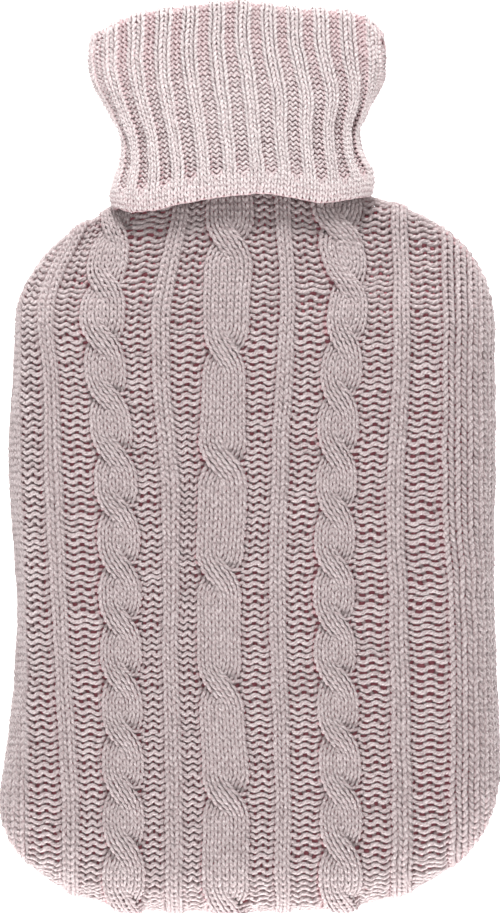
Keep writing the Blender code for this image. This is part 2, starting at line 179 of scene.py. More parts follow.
# %% Bands
BAND_Y = (98.0, 63.0, 36.0, -6.0, -76.0, -133.0)
BANDS = (
    # kind,    stitches, x at each BAND_Y
    ("plain", 5, (-96.0, -99.0, -99.0, -99.0, -99.0, -102.0)),
    ("ground", 2, (-80.0, -93.3, -93.7, -93.3, -91.2, -90.0)),
    ("rib", 2, (-71.0, -85.9, -84.3, -83.8, -79.7, -76.7)),
    ("ground", 2, (-65.0, -79.0, -78.1, -76.1, -73.2, -69.5)),
    ("cable", 6, (-61.0, -69.1, -67.4, -63.3, -60.9, -59.9)),
    ("ground", 2, (-48.0, -50.6, -50.2, -45.7, -44.1, -42.6)),
    ("rib", 2, (-31.5, -39.5, -39.6, -36.3, -35.5, -34.2)),
    ("ground", 2, (-24.5, -31.7, -32.2, -28.5, -28.9, -27.0)),
    ("cable", 6, (-17.5, -19.1, -19.1, -20.7, -21.5, -19.0)),
    ("ground", 2, (1.5, 0.3, -1.4, -1.0, -3.5, -0.2)),
    ("rib", 2, (10.5, 12.7, 10.9, 8.8, 8.4, 10.5)),
    ("ground", 2, (17.0, 19.0, 17.8, 15.8, 15.4, 16.8)),
    ("cable", 6, (25.3, 32.2, 28.9, 27.2, 26.4, 28.5)),
    ("ground", 2, (45.7, 48.6, 45.7, 43.7, 43.3, 45.7)),
    ("rib", 2, (58.0, 58.8, 58.4, 56.0, 57.2, 58.0)),
    ("ground", 2, (65.0, 65.6, 65.4, 63.3, 65.0, 66.6)),
    ("plain", 6, (78.0, 78.5, 78.5, 78.5, 81.4, 82.0)),
)
STARTS = np.concatenate([[0], np.cumsum([count for _, count, _ in BANDS])])
KINDS = [kind for kind, count, _ in BANDS for _ in range(count)]
SIDE_CABLE = (92.9, 22.96)  # y of the first crossing, and the distance to the next
MIDDLE_CABLE = (87.5, 45.2)
CABLE_STITCHES = 6
STRAND = CABLE_STITCHES // 2
RIM = 19.0  # radius with which the front turns down to the seam


def unrolled(x, left, right):
    """x measured along the cloth, which goes on round the edge at each side."""
    over = np.clip((x - (right - RIM)) / RIM, 0.0, 1.0)
    under = np.clip((left + RIM - x) / RIM, 0.0, 1.0)
    return x + RIM * (np.arcsin(over) - over) - RIM * (np.arcsin(under) - under)


def rolled(u, left, right):
    over = np.clip((u - (right - RIM)) / RIM, 0.0, np.pi / 2)
    under = np.clip((left + RIM - u) / RIM, 0.0, np.pi / 2)
    return u + RIM * (np.sin(over) - over) - RIM * (np.sin(under) - under)


def wale_x(stitch, y):
    """x of a stitch number at height y: evenly spaced along the cloth within its band."""
    left, right = side_x(y)
    between = [curve(tuple(zip(BAND_Y[::-1], xs[::-1])), y) for _, _, xs in BANDS[1:]]
    edges = np.stack([left, *between, right], -1)
    band = np.clip(np.searchsorted(STARTS, stitch, side="right") - 1, 0, len(BANDS) - 1)
    low = unrolled(np.take_along_axis(edges, band[..., None], -1)[..., 0], left, right)
    high = unrolled(np.take_along_axis(edges, band[..., None] + 1, -1)[..., 0], left, right)
    share = (stitch - STARTS[band]) / (STARTS[band + 1] - STARTS[band])
    return rolled(low + (high - low) * share, left, right)


print(len(KINDS), "wales on the front")

# %% [markdown]
# ## From stitches to places
# Yarn is easiest to draw in stitch numbers: wale 12.3, course 40.6. A map then turns those numbers
# into a point on the cloth. Courses are spaced along the surface, not along Y, so they keep their
# size as the cloth turns down at the shoulders and the bottom, just as stitches do.

# %% Cloth maps
PITCH = 2.86  # from one course to the next
FIRST_Y = 112.0  # course 0 lies here in the middle
BACK_WALES = 42
WALE_STEP = 0.25  # spacing of a map's grid, in stitches
ROW_STEP = 0.5
FINE_STEPS = 900  # points along a wale when its length is measured
SPARE_ROWS = 3  # rows that a map has past the cloth at each end
TURNED_ROWS = 2.5  # and how far it goes on past the seam


def back_x(stitch, y):
    left, right = side_x(y)
    low, high = unrolled(left, left, right), unrolled(right, left, right)
    return rolled(low + (high - low) * stitch / BACK_WALES, left, right)


def normals_of(points):
    """Unit normals of a grid of points."""
    return unit(np.cross(np.gradient(points, axis=1), np.gradient(points, axis=0)))


def body_map(panel, x_of, wales):
    """Points on a grid of wales and courses, and the courses at which each wale starts and ends."""
    lines = np.linspace(0.0, wales, int(wales / WALE_STEP) + 1)
    low = np.full(len(lines), LEFT_SIDE[0][0])
    high = np.full(len(lines), LEFT_SIDE[-1][0])
    for _ in range(60):  # where a wale meets the seam depends on its x there, so both settle together
        low = 0.5 * low + 0.5 * bottom_y(x_of(lines, low))
        high = 0.5 * high + 0.5 * top_y(x_of(lines, high))
    share = np.linspace(0.0, 1.0, FINE_STEPS)
    share = 0.5 * share + 0.5 * smooth(share)
    y = low[:, None] + (high - low)[:, None] * share
    fine = panel_point(panel, x_of(np.repeat(lines[:, None], FINE_STEPS, 1), y), y)
    along = np.array([path_lengths(line) for line in fine])
    at_zero = np.array([np.interp(0.0, *line) for line in zip(y, along)])
    course = FIRST_Y / PITCH - (along - at_zero[:, None]) / PITCH
    top, end = course[:, -1], course[:, 0]
    first, last = np.floor(top.min()) - SPARE_ROWS, np.ceil(end.max()) + SPARE_ROWS
    rows = np.arange(first, last + 0.01, ROW_STEP)
    points = np.array([points_at(rows, at[::-1], line[::-1]) for at, line in zip(course, fine)])
    normal = normals_of(points) * panel["side"]
    # Past the seam the cloth goes on straight towards the other panel.
    sewn_top = np.where(fine[:, -1, 1] < NECK_TOP - 1.0, top, -99.0)
    past = np.maximum(rows - end[:, None], sewn_top[:, None] - rows)
    points[..., 2] -= panel["side"] * np.clip(past, 0.0, TURNED_ROWS) * PITCH
    seam = (rows < top[:, None] + 0.3) | (rows > end[:, None] - 0.3)
    outward = points - np.array([0.0, CROWN_Y, SEAM_Z])
    outward[..., 2] = 0.0
    open_neck = points[..., 1] > NECK_TOP - 1.0
    straight = np.array([0.0, 0.0, panel["side"]])
    normal = np.where((seam & ~open_neck)[..., None], unit(outward), normal)
    normal = np.where((seam & open_neck)[..., None], straight, normal)
    return {"points": points, "normals": normal, "lines": lines, "rows": rows, "top": top, "end": end}


def place(cloth, wale, row, what="points"):
    """What the map holds at these wales and rows, by bilinear interpolation."""
    grid = cloth[what]
    i = (wale - cloth["lines"][0]) / WALE_STEP
    j = (row - cloth["rows"][0]) / ROW_STEP
    i0 = np.clip(np.floor(i).astype(int), 0, grid.shape[0] - 2)
    j0 = np.clip(np.floor(j).astype(int), 0, grid.shape[1] - 2)
    u = np.clip(i - i0, 0.0, 1.0)[..., None]
    v = np.clip(j - j0, 0.0, 1.0)[..., None]
    return ((grid[i0, j0] * (1 - u) + grid[i0 + 1, j0] * u) * (1 - v)
            + (grid[i0, j0 + 1] * (1 - u) + grid[i0 + 1, j0 + 1] * u) * v)


def ends_at(cloth, wale):
    """The courses at which a wale starts and ends."""
    return (np.interp(wale, cloth["lines"], cloth[edge]) for edge in ("top", "end"))


front_map = body_map(FRONT, wale_x, len(KINDS))
back_map = body_map(BACK, back_x, BACK_WALES)
print("front rows", round(front_map["top"].min(), 1), "to", round(front_map["end"].max(), 1))

# %% [markdown]
# ## One stitch
# Along a course the yarn goes down into a loop and up again, and it also swings sideways, so that the
# loop is wider than its neck, and from front to back, because each loop is pulled through its
# neighbour. On a knit stitch the two legs are in front, and on a purl stitch the loop's head and the
# bar between loops are. Three waves give all of this. A tube is then drawn along the path.

# %% Yarn paths
# Sideways swing in stitches, and half a loop's height in courses, for each kind of wale.
SWING = {"knit": 0.265, "cable": 0.25, "ground": 0.17}
REACH = {"knit": 0.77, "cable": 0.80, "ground": 0.72}
DEPTH = 1.15  # how far the yarn goes to the front and the back, in yarn radii
HOLD = 0.15  # how much longer it stays in front than behind
LEGS_BEHIND = 0.5  # on the purl ground the legs lie just behind the bars
YARN = 1.02  # radius of loose yarn
SQUEEZE = 0.262  # radius over stitch width where the stitches are tight
# Where the points of a stitch lie on its path: fewer where nobody looks closely, and on the purl
# ground closer together at the head and the bar, which show there.
KNIT_TURNS = np.arange(8) / 8 * 2 * np.pi
PURL_TURNS = np.array([0.0, 0.55, 1.2, 1.94, 2.59, 3.14, 3.69, 4.34, 5.08, 5.73])
HIDDEN_TURNS = np.arange(6) / 6 * 2 * np.pi
BACK_TURNS = np.arange(5) / 5 * 2 * np.pi
WAVES = 24  # in each of the three patterns of unevenness


def uneven(shortest, longest):
    """Smooth random waves over wales and rows, for the unevenness of real knitting."""
    lengths = np.exp(rng.uniform(np.log(shortest), np.log(longest), WAVES))
    angles = rng.uniform(0, 2 * np.pi, WAVES)
    phases = rng.uniform(0, 2 * np.pi, WAVES)
    waves = np.stack([np.cos(angles), np.sin(angles)], -1) * (2 * np.pi / lengths)[:, None]
    sizes = (lengths / longest) ** 0.4

    def value(wale, row):
        total = sum(s * np.sin(wale * a + row * b + p) for (a, b), p, s in zip(waves, phases, sizes))
        return total / np.sqrt((sizes**2).sum() / 2)

    return value


drift_wale = uneven(1.4, 30.0)
drift_row = uneven(1.6, 24.0)
drift_out = uneven(1.4, 16.0)
DRIFT = (0.07, 0.10, 0.2)  # sizes of the three, in wales, courses and millimetres
LOOSE = {"knit": 0.7, "cable": 0.7, "ground": 1.35}  # how uneven each kind of stitch is


def stitch_path(turns, wale, kind, reaches=None):
    """Offsets of one stitch: across in wales, along in courses, and depth from 1, front, to -1."""
    left, head, right = reaches or (REACH[kind],) * 3
    across = wale + turns / (2 * np.pi) + SWING[kind] * np.sin(2 * turns)
    reach = np.select([turns < np.pi / 2, turns > 1.5 * np.pi], [left, right], head)
    depth = -np.cos(2 * turns)
    return across, -reach * np.cos(turns), -depth if kind == "ground" else depth


# %% [markdown]
# ## The tube
# A Blender curve with a bevel could draw the yarn, but it would give every stitch the same number of
# points and no say over the radius where stitches are squeezed in a cable. So rings of points are set
# round each path, square to it, and joined by four-sided faces: five points where the yarn is seen,
# and four on the back and the seam.

# %% Tubes from paths
SIDES = 5
ROUGH = 0.11  # unevenness of the yarn's radius, as a share of it


def tube_arrays(points, normals, radii, heights, closed, sides):
    """Vertices, their heights, quads, caps, corner coordinates and the length of one tube."""
    ahead = np.roll(points, -1, 0) - np.roll(points, 1, 0)
    if not closed:
        ahead[0] = points[1] - points[0]
        ahead[-1] = points[-1] - points[-2]
    ahead = unit(ahead)
    up = unit(normals - (normals * ahead).sum(1, keepdims=True) * ahead)
    side = np.cross(ahead, up)
    turn = (np.arange(sides) / sides + 0.5) * 2 * np.pi
    ring = up[:, None] * np.cos(turn)[None, :, None] + side[:, None] * np.sin(turn)[None, :, None]
    # Spun yarn is never quite round.
    rough = 1.0 + ROUGH * rng.standard_normal((len(points), sides))
    verts = points[:, None] + ring * (radii[:, None] * rough)[..., None]
    # The height sets the painted rose shade: it is lowest on a tube's inner side and where the yarn
    # lies deep.
    lift = heights[:, None] + (ring * normals[:, None]).sum(-1)
    n = len(points)
    rows = np.arange(n if closed else n - 1)
    i, j = np.meshgrid(rows, np.arange(sides), indexing="ij")
    corners = [(i + a, j + b) for a, b in ((0, 0), (1, 0), (1, 1), (0, 1))]
    quads = np.stack([(a % n) * sides + b % sides for a, b in corners], -1).reshape(-1, 4)
    along = path_lengths(np.concatenate([points, points[:1]]) if closed else points)
    uv = np.stack([np.stack([along[a], b / sides], -1) for a, b in corners], -2).reshape(-1, 4, 2)
    caps = [] if closed else [np.arange(sides), (n - 1) * sides + np.arange(sides)[::-1]]
    return verts.reshape(-1, 3), lift.ravel(), quads, caps, uv, along[-1]


def linked(name, data):
    """Puts a new object with this mesh, light or camera into the scene."""
    obj = bpy.data.objects.new(name, data)
    bpy.context.scene.collection.objects.link(obj)
    return obj


def yarn_object(name, tubes, sides=SIDES):
    """One mesh from many tubes: each is points, normals, radii and heights, and whether it closes."""
    parts = [tube_arrays(*tube, sides) for tube in tubes]
    bases = np.cumsum([0] + [len(part[0]) for part in parts])
    verts, lifts, uv = (np.concatenate([part[k] for part in parts]) for k in (0, 1, 4))
    quads = np.concatenate([part[2] + base for part, base in zip(parts, bases)])
    caps = [cap + base for part, base in zip(parts, bases) for cap in part[3]]
    verts[:, 2] = np.maximum(verts[:, 2], 0.0)  # the cover is flat where it rests
    # One strip of the baking map for each course, so that no two faces share a place.
    strip = np.repeat(np.arange(len(parts)), [len(part[4]) for part in parts])
    bake = uv.copy()
    bake[..., 0] = 0.002 + 0.996 * uv[..., 0] / max(part[5] for part in parts)
    bake[..., 1] = (strip[:, None] + 0.06 + 0.88 * uv[..., 1]) / len(parts)
    mesh = bpy.data.meshes.new(name)
    mesh.vertices.add(len(verts))
    mesh.vertices.foreach_set("co", (verts * MM).astype(np.float32).ravel())
    loops = np.concatenate([quads.ravel(), *caps]) if caps else quads.ravel()
    mesh.loops.add(len(loops))
    mesh.loops.foreach_set("vertex_index", loops.astype(np.int32))
    starts = np.concatenate([np.arange(len(quads)) * 4, len(quads) * 4 + np.arange(len(caps)) * sides])
    mesh.polygons.add(len(starts))
    mesh.polygons.foreach_set("loop_start", starts.astype(np.int32))
    mesh.update(calc_edges=True)
    for layer_name, values in (("OFBake", bake), ("yarn", uv)):
        layer = mesh.uv_layers.new(name=layer_name)
        full = np.zeros((len(loops), 2), np.float32)
        full[: quads.size] = values.reshape(-1, 2)
        layer.uv.foreach_set("vector", full.ravel())
    height = mesh.attributes.new("height", "FLOAT", "POINT")
    height.data.foreach_set("value", lifts.astype(np.float32))
    mesh.shade_smooth()
    obj = linked(name, mesh)
    triangles = 2 * len(quads) + (sides - 2) * len(caps)
    print(name, len(tubes), "courses,", triangles, "triangles")
    return obj


# %% [markdown]
# ## The front
# Knit bands rise above the purl ground, and a cable is two strands of three stitches. At each
# crossing the left strand goes over the right one, and both change sides within a few courses. Every
# stitch of a strand keeps its place beside the strand's middle, so the legs follow the strand.

# %% Height of the bands
MID = -2.0  # the yarn's middle layer, from the solid's face
RISE = {"rib": 1.3, "plain": 0.8}  # and how far out the bands stand from it
CABLE_RISE = 2.4
CROSSING_RISE = 1.0  # at a crossing the front strand is raised this much more
CROSSING_SINK = 1.8  # and the back one lowered this much
STRAND_HALF = 2.1  # half widths in stitches of the arch of a strand
FIELD_HALF = 3.7  # and of the arch of the whole cable
FIELD_SHARE = 0.75  # how much of the second arch shows between the crossings
CROSSING_REACH = 9.5  # distance from a crossing at which the strands have changed sides
LIFT_REACH = 5.2  # and over which they are lifted or lowered
FAN = 0.36  # how much wider a strand is where it runs aslant
PULL = 2.4  # how far a crossing draws the ground beside it in
LOOKS = ["knit" if kind in RISE else kind for kind in KINDS]  # kind of stitch in each wale


def sinker_reach(boundary):
    """Reach of the bar between two stitches: the mean of theirs."""
    sides = LOOKS[max(boundary - 1, 0)], LOOKS[min(boundary, len(KINDS) - 1)]
    return 0.5 * (REACH[sides[0]] + REACH[sides[1]])


def band_rise(wale):
    """Rise of ribs and plain bands at a wale, ramping up over a third of a stitch."""
    rise = np.zeros_like(wale)
    for i, (kind, _, _) in enumerate(BANDS):
        if kind in RISE:
            inside = np.minimum(wale - STARTS[i], STARTS[i + 1] - wale)
            inside = np.where((wale < 1.0) | (wale > len(KINDS) - 1.0), 1.0, inside)
            at = (wale > STARTS[i] - 0.5) & (wale < STARTS[i + 1] + 0.5)
            rise = np.where(at, np.maximum(rise, RISE[kind] * smooth((inside + 0.15) / 0.5)), rise)
    return rise


def crossing_below(band, y):
    """How far y and the crossing nearest to it lie below the first crossing of a band's cable."""
    first, pitch = MIDDLE_CABLE if band == len(BANDS) // 2 else SIDE_CABLE
    return first - y, pitch * np.round((first - y) / pitch)


def pull_in(wale, y):
    """How far each cable draws the ground towards it at its crossings, in millimetres."""
    shift = np.zeros_like(wale)
    for band, (kind, _, _) in enumerate(BANDS):
        if kind == "cable":
            below, nearest = crossing_below(band, y)
            crossing = np.exp(-(((below - nearest) / LIFT_REACH) ** 2))
            for out, way in ((STARTS[band] - wale, 1.0), (wale - STARTS[band + 1], -1.0)):
                near = np.where(out > 0.0, np.clip(1.0 - out / 2.0, 0.0, 1.0), 0.0)
                shift += way * PULL * crossing * near**2
    return shift


def cable_stitch(band, stitch, row):
    """Path of one of the six stitches of a cable, in knitting order."""
    start = float(STARTS[band])
    middle = start + STRAND
    row_y = place(front_map, np.array([middle]), np.array([float(row)]))[0, 1]
    below, nearest = crossing_below(band, row_y)
    front = (stitch < STRAND) != (below > nearest)
    side = 1.0 if front else -1.0
    reaches = [REACH["cable"]] * 3
    if stitch == 0:
        reaches[0] = sinker_reach(int(start))
    if stitch == CABLE_STITCHES - 1:
        reaches[2] = sinker_reach(int(start) + CABLE_STITCHES)
    x, down, depth = stitch_path(KNIT_TURNS, 0.0, "cable", reaches)
    path_y = place(front_map, np.full(len(down), middle), row + down)[:, 1]
    past = crossing_below(band, path_y)[0] - nearest
    over = smooth(0.5 + past / (2 * CROSSING_REACH)) * 2 - 1
    crossing = np.exp(-((past / LIFT_REACH) ** 2))
    local = (stitch % STRAND) - STRAND / 2 + x
    within = CABLE_STITCHES * (0.5 + 0.25 * side * over) + local * (1 + FAN * crossing)
    strand = np.sqrt(np.clip(1 - (local / STRAND_HALF) ** 2, 0.0, 1.0))
    field = np.sqrt(np.clip(1 - ((within - STRAND) / FIELD_HALF) ** 2, 0.0, 1.0))
    flat = smooth((np.abs(past) - LIFT_REACH) / 4.0)
    height = CABLE_RISE * (strand + (field - strand) * FIELD_SHARE * flat)
    height += side * (CROSSING_RISE if front else CROSSING_SINK) * crossing * strand
    return start + within, down, depth, height, np.full(len(down), LOOSE["cable"])


def front_course(row):
    """One course of the front, from side to side: wale, row, depth sign, rise and unevenness."""
    parts = []
    for band, (kind, count, _) in enumerate(BANDS):
        first, last = int(STARTS[band]), int(STARTS[band + 1])
        for wale in range(first, last):
            if kind == "cable":
                parts.append(cable_stitch(band, wale - first, row))
                continue
            look = LOOKS[wale]
            turns = PURL_TURNS if look == "ground" else KNIT_TURNS
            reaches = (sinker_reach(wale), REACH[look], sinker_reach(wale + 1))
            across, down, depth = stitch_path(turns, float(wale), look, reaches)
            # The yarn passes from front to back where a purl band meets a knit one.
            after = across - first if first > 0 else 1.0
            before = last - across if last < len(KINDS) else 1.0
            edge = np.minimum(after, before)
            depth = depth * smooth((edge + 0.12) / 0.32)
            if look == "ground":
                depth = np.where(depth < 0.0, LEGS_BEHIND * depth, depth)
            parts.append((across, down, depth, band_rise(across), np.full(len(down), LOOSE[look])))
    return [np.concatenate(part) for part in zip(*parts)]


SIDE_LIE = 0.25  # how much of their depth the stitches keep at the seams
SEAM_OUT = 0.8  # and how far out they lie there
LIE_ROWS, LIE_WALES = 4.0, 2.5  # how far from the seams they are free
THINNEST = 0.72  # radius of squeezed yarn, as a share of loose yarn's


def laid(cloth, wale, row, depth, rise, yarn=YARN, low=0.0, loose=1.0):
    """Turns a path in stitches into points, normals, radii, and heights in yarn radii for the painted
    shade.
    """
    wale = wale + DRIFT[0] * loose * drift_wale(wale, row)
    row = row + DRIFT[1] * loose * drift_row(wale, row)
    points = place(cloth, wale, row)
    normals = unit(place(cloth, wale, row, "normals"))
    half = place(cloth, wale + 0.25, row) - place(cloth, wale - 0.25, row)
    radii = np.clip(SQUEEZE * 2 * np.linalg.norm(half, axis=1), THINNEST * yarn, yarn)
    depth = depth + HOLD * (1 - depth**2)
    lie = 1.0
    if "top" in cloth:
        # Pulled round the edges of the bottle, the stitches lie flatter.
        top, end = ends_at(cloth, wale)
        from_end = np.minimum(row - top, end - row) / LIE_ROWS
        from_side = np.minimum(wale, cloth["lines"][-1] - wale) / LIE_WALES
        lie = SIDE_LIE + (1 - SIDE_LIE) * smooth(np.minimum(from_side, from_end))
    out = rise + DEPTH * radii * depth * lie + SEAM_OUT * (1 - lie)
    out = out + DRIFT[2] * loose * drift_out(wale, row)
    # low lowers the height, for more painted shade.
    return points + normals * out[:, None], normals, radii, DEPTH * depth + low


def runs(keep):
    """Start and end of each unbroken run of True."""
    edges = np.flatnonzero(np.diff(np.concatenate([[False], keep, [False]]).astype(int)))
    return zip(edges[::2], edges[1::2])


def panel_tubes(cloth, course, over, shortest, first, last):
    """Tubes of a panel's courses, cut where they go further past the seam than this many courses."""
    tubes = []
    for row in range(first, last):
        wale, down, depth, rise, loose = course(row)
        rows = row + down
        top, end = ends_at(cloth, wale)
        for a, b in runs((rows > top - over) & (rows < end + over)):
            if b - a > shortest:
                part = slice(a, b)
                points, *rest = laid(cloth, wale[part], rows[part], depth[part], MID + rise[part],
                                     loose=loose[part])
                if cloth is front_map:
                    points[:, 0] += pull_in(wale[part], points[:, 1])
                tubes.append((points, *rest, False))
    return tubes


# %% Knit the front
FIRST_ROW = -4
FRONT_SPLITS = (FIRST_ROW, 38, 72, int(front_map["end"].max()) + 3)
front_yarn = [
    yarn_object(f"front_yarn_{part}", panel_tubes(front_map, front_course, 1.5, 8, first, last))
    for part, first, last in zip(("top", "middle", "bottom"), FRONT_SPLITS, FRONT_SPLITS[1:])
]

# %% [markdown]
# ## The back
# Nobody sees the back in use, so it is plain stocking stitch: knit stitches all over, a little wider
# than the front's.

# %% Knit the back
def back_course(row):
    """One course of the back. All of them are alike, so the row number makes no difference."""
    paths = [stitch_path(BACK_TURNS, float(wale), "knit") for wale in range(BACK_WALES)]
    across, down, depth = (np.concatenate(part) for part in zip(*paths))
    return across, down, depth, np.zeros(len(across)), np.ones(len(across))


LAST_BACK = int(back_map["end"].max()) + 1
BACK_SPLITS = (FIRST_ROW, LAST_BACK // 2, LAST_BACK)
back_yarn = [
    yarn_object(f"back_yarn_{part}", panel_tubes(back_map, back_course, -0.1, 6, first, last), sides=4)
    for part, first, last in zip(("top", "bottom"), BACK_SPLITS, BACK_SPLITS[1:])
]

# %% [markdown]
# ## The roll neck
# The collar is a tube of two-by-two rib, folded over outwards. Its map runs up the outside from the
# cast-off edge, over the fold and a little way down inside.

# %% Sizes of the collar
COLLAR = (
    # y, left and right edge, half depth, evenness of the spacing, turn in wales
    (103.0, -58.8, 52.8, 21.0, 0.85, 2.2),
    (113.0, -56.6, 50.6, 21.5, 0.8, 2.2),
    (121.0, -54.0, 47.2, 21.8, 0.65, 2.1),
    (129.0, -53.1, 46.0, 22.0, 0.5, 1.9),
    (146.0, -59.6, 51.8, 22.0, 0.7, 1.4),
    (162.0, -65.8, 55.9, 22.0, 1.1, 0.9),
    (187.0, -65.8, 55.9, 20.0, 1.2, 0.8),
)
INNER_COLLAR = ((116.3, 42.0, 12.0), (130.0, 44.0, 14.5), (150.0, 50.0, 15.5))
INNER_EVEN = 0.8
YARN_WALL, SHEET_WALL = 4.0, 4.5  # thickness of the roll for its yarn and for its sheet
INNER_STEP = 2.1  # from one row to the next inside the fold
COLLAR_Z = 22.0
COLLAR_NECK_Z = 19.0
INNER_CLIMB = 25.0
COLLAR_TOP = 187.3
FOLD = 4.5
HEM = ((-60.0, 104.0), (-47.0, 101.2), (-22.0, 106.0), (0.0, 108.4), (16.0, 107.2), (30.0, 105.4),
       (54.0, 109.4))
BACK_HEM_Y = 114.0
FOLD_X = -3.5
FOLD_HALF = 62.0
# How the fold drops to its two ends: a slope and a corner, each as a size and a power.
LEFT_DROP = (7.0, 1.0, 9.0, 5)
RIGHT_DROP = (5.8, 0.6, 34.0, 14)
COLLAR_WALES = 96
OUTER_ROWS = 37
FOLD_ROWS = 5
INNER_ROWS = 2
LAST_COLLAR_ROW = OUTER_ROWS + FOLD_ROWS + INNER_ROWS
COLLAR_INSET = 1.9  # the yarn's middle layer, in from the solid's face
CURL = 1.6  # how far the cast-off edge curls in
CURL_ROWS = 3.5
RIB_TOP = 0.5  # the ribs' yarn stands this far out from the middle layer
FURROW = 1.35  # and the furrows' yarn lies this far in


def ring_points(y, left, right, half_depth, evenness, z, shares, inset):
    """Points of an oval ring, at shares of the way round it, and this far in from its face.

    With evenness 0 the wales take equal steps of angle, and with 1 equal steps along the ring.
    """
    half_width = 0.5 * (right - left)
    fine = np.linspace(0.0, 2 * np.pi, 721)
    along = path_lengths(np.stack([half_width * np.cos(fine), half_depth * np.sin(fine)], -1))
    turns = np.arange(COLLAR_WALES + 1) / COLLAR_WALES
    steady, even = turns * 2 * np.pi, np.interp(turns * along[-1], along, fine)
    angles = np.interp(shares, turns, steady + (even - steady) * evenness)
    cos, sin = np.cos(angles), np.sin(angles)
    normal = unit(np.stack([cos * half_depth, sin * half_width], -1))
    x = 0.5 * (left + right) + half_width * cos - normal[:, 0] * inset
    height = z + half_depth * sin - normal[:, 1] * inset
    return np.stack([x, y, np.maximum(height, inset)], -1)


def fold_top(x):
    out = np.abs(x - FOLD_X) / FOLD_HALF
    drops = [a * out**n + b * out**m for a, n, b, m in (LEFT_DROP, RIGHT_DROP)]
    return COLLAR_TOP - np.where(x < FOLD_X, *drops)


def hem_y(x, sin):
    return BACK_HEM_Y + (curve(HEM, x) - BACK_HEM_Y) * smooth(1 + 2 * np.minimum(sin, 0.0))


def outer_ring(share, places, inset):
    """A ring of the outside of the roll, from the hem, share 0, to the fold, share 1."""
    mid = COLLAR[0][0] + (COLLAR_TOP - 2 * FOLD - COLLAR[0][0]) * share
    left, right, depth, even, turn = (float(curve(COLLAR, mid, column)) for column in range(1, 6))
    places = (places - turn / COLLAR_WALES) % 1.0
    rough = ring_points(0 * places, left, right, depth, even, COLLAR_Z, places, inset)
    low = hem_y(rough[:, 0], (rough[:, 2] - COLLAR_Z) / depth)
    high = fold_top(rough[:, 0]) - FOLD
    return ring_points(low + (high - low) * share, left, right, depth, even, COLLAR_Z, places, inset)


def inner_ring(size, places, inset):
    """A ring of the inside of the roll. The size is y, half the width and half the depth."""
    y, half_width, half_depth = size
    z = COLLAR_NECK_Z + (COLLAR_Z - COLLAR_NECK_Z) * smooth((y - NECK_TOP) / INNER_CLIMB)
    places = (places - COLLAR[-1][-1] / COLLAR_WALES) % 1.0
    left, right = NECK_X - half_width, NECK_X + half_width
    return ring_points(0 * places + y, left, right, half_depth, INNER_EVEN, z, places, inset)


def collar_ring(row, places, inset):
    """A ring of the collar at a row number: outside, round the fold, then down inside."""
    if row <= OUTER_ROWS:
        curl = CURL * max(1.0 - row / CURL_ROWS, 0.0) ** 2
        return outer_ring(max(row, -1.0) / OUTER_ROWS, places, inset + curl)
    edge = outer_ring(1.0, places, inset)
    centre = outer_ring(1.0, places, FOLD)
    turn = min(row - OUTER_ROWS, FOLD_ROWS) / FOLD_ROWS * np.pi
    ring = centre + (edge - centre) * np.cos(turn)
    ring[:, 1] = centre[:, 1] + max(FOLD - inset, 0.2) * np.sin(turn)
    past = row - OUTER_ROWS - FOLD_ROWS
    if past > 0:
        inside = inner_ring(INNER_COLLAR[-1], places, YARN_WALL - inset)
        share = past * INNER_STEP / (ring[:, 1] - INNER_COLLAR[-1][0])
        ring = ring + (inside - ring) * np.minimum(share, 1.0)[:, None]
    return ring


def collar_map():
    """Like a panel's map, but one wale and one row larger on each side, as the ring has no ends."""
    lines = np.arange(-1.0, COLLAR_WALES + 1.001, WALE_STEP)
    rows = np.arange(-1.0, LAST_COLLAR_ROW + 1.01, ROW_STEP)
    places = (lines / COLLAR_WALES) % 1.0
    points = np.stack([collar_ring(row, places, COLLAR_INSET) for row in rows], 1)
    return {"points": points, "normals": normals_of(points), "lines": lines, "rows": rows}


collar = collar_map()
print("collar", COLLAR_WALES, "wales,", LAST_COLLAR_ROW, "rows")

# %% Knit the collar
CAST_OFF = 3.5  # rows over which the furrows run out at the hem
TURN_WIDTH = 0.22  # half the width, in wales, in which a rib turns into a furrow
RIB_SHARE = (0.53, 0.66)  # how much of the cloth the ribs take above the hem and at the fold
FURROW_PAINTED_SHADE = (0.45, 0.75, 0.4)  # how much painted rose shade the furrows get: all, more at the fold and the hem
COLLAR_YARN = 0.86
HEM_SHADE = 0.5  # the cast-off edge turns away from the light, in yarn radii
SIDE_SHADE = 0.4  # and so do the sides of the roll


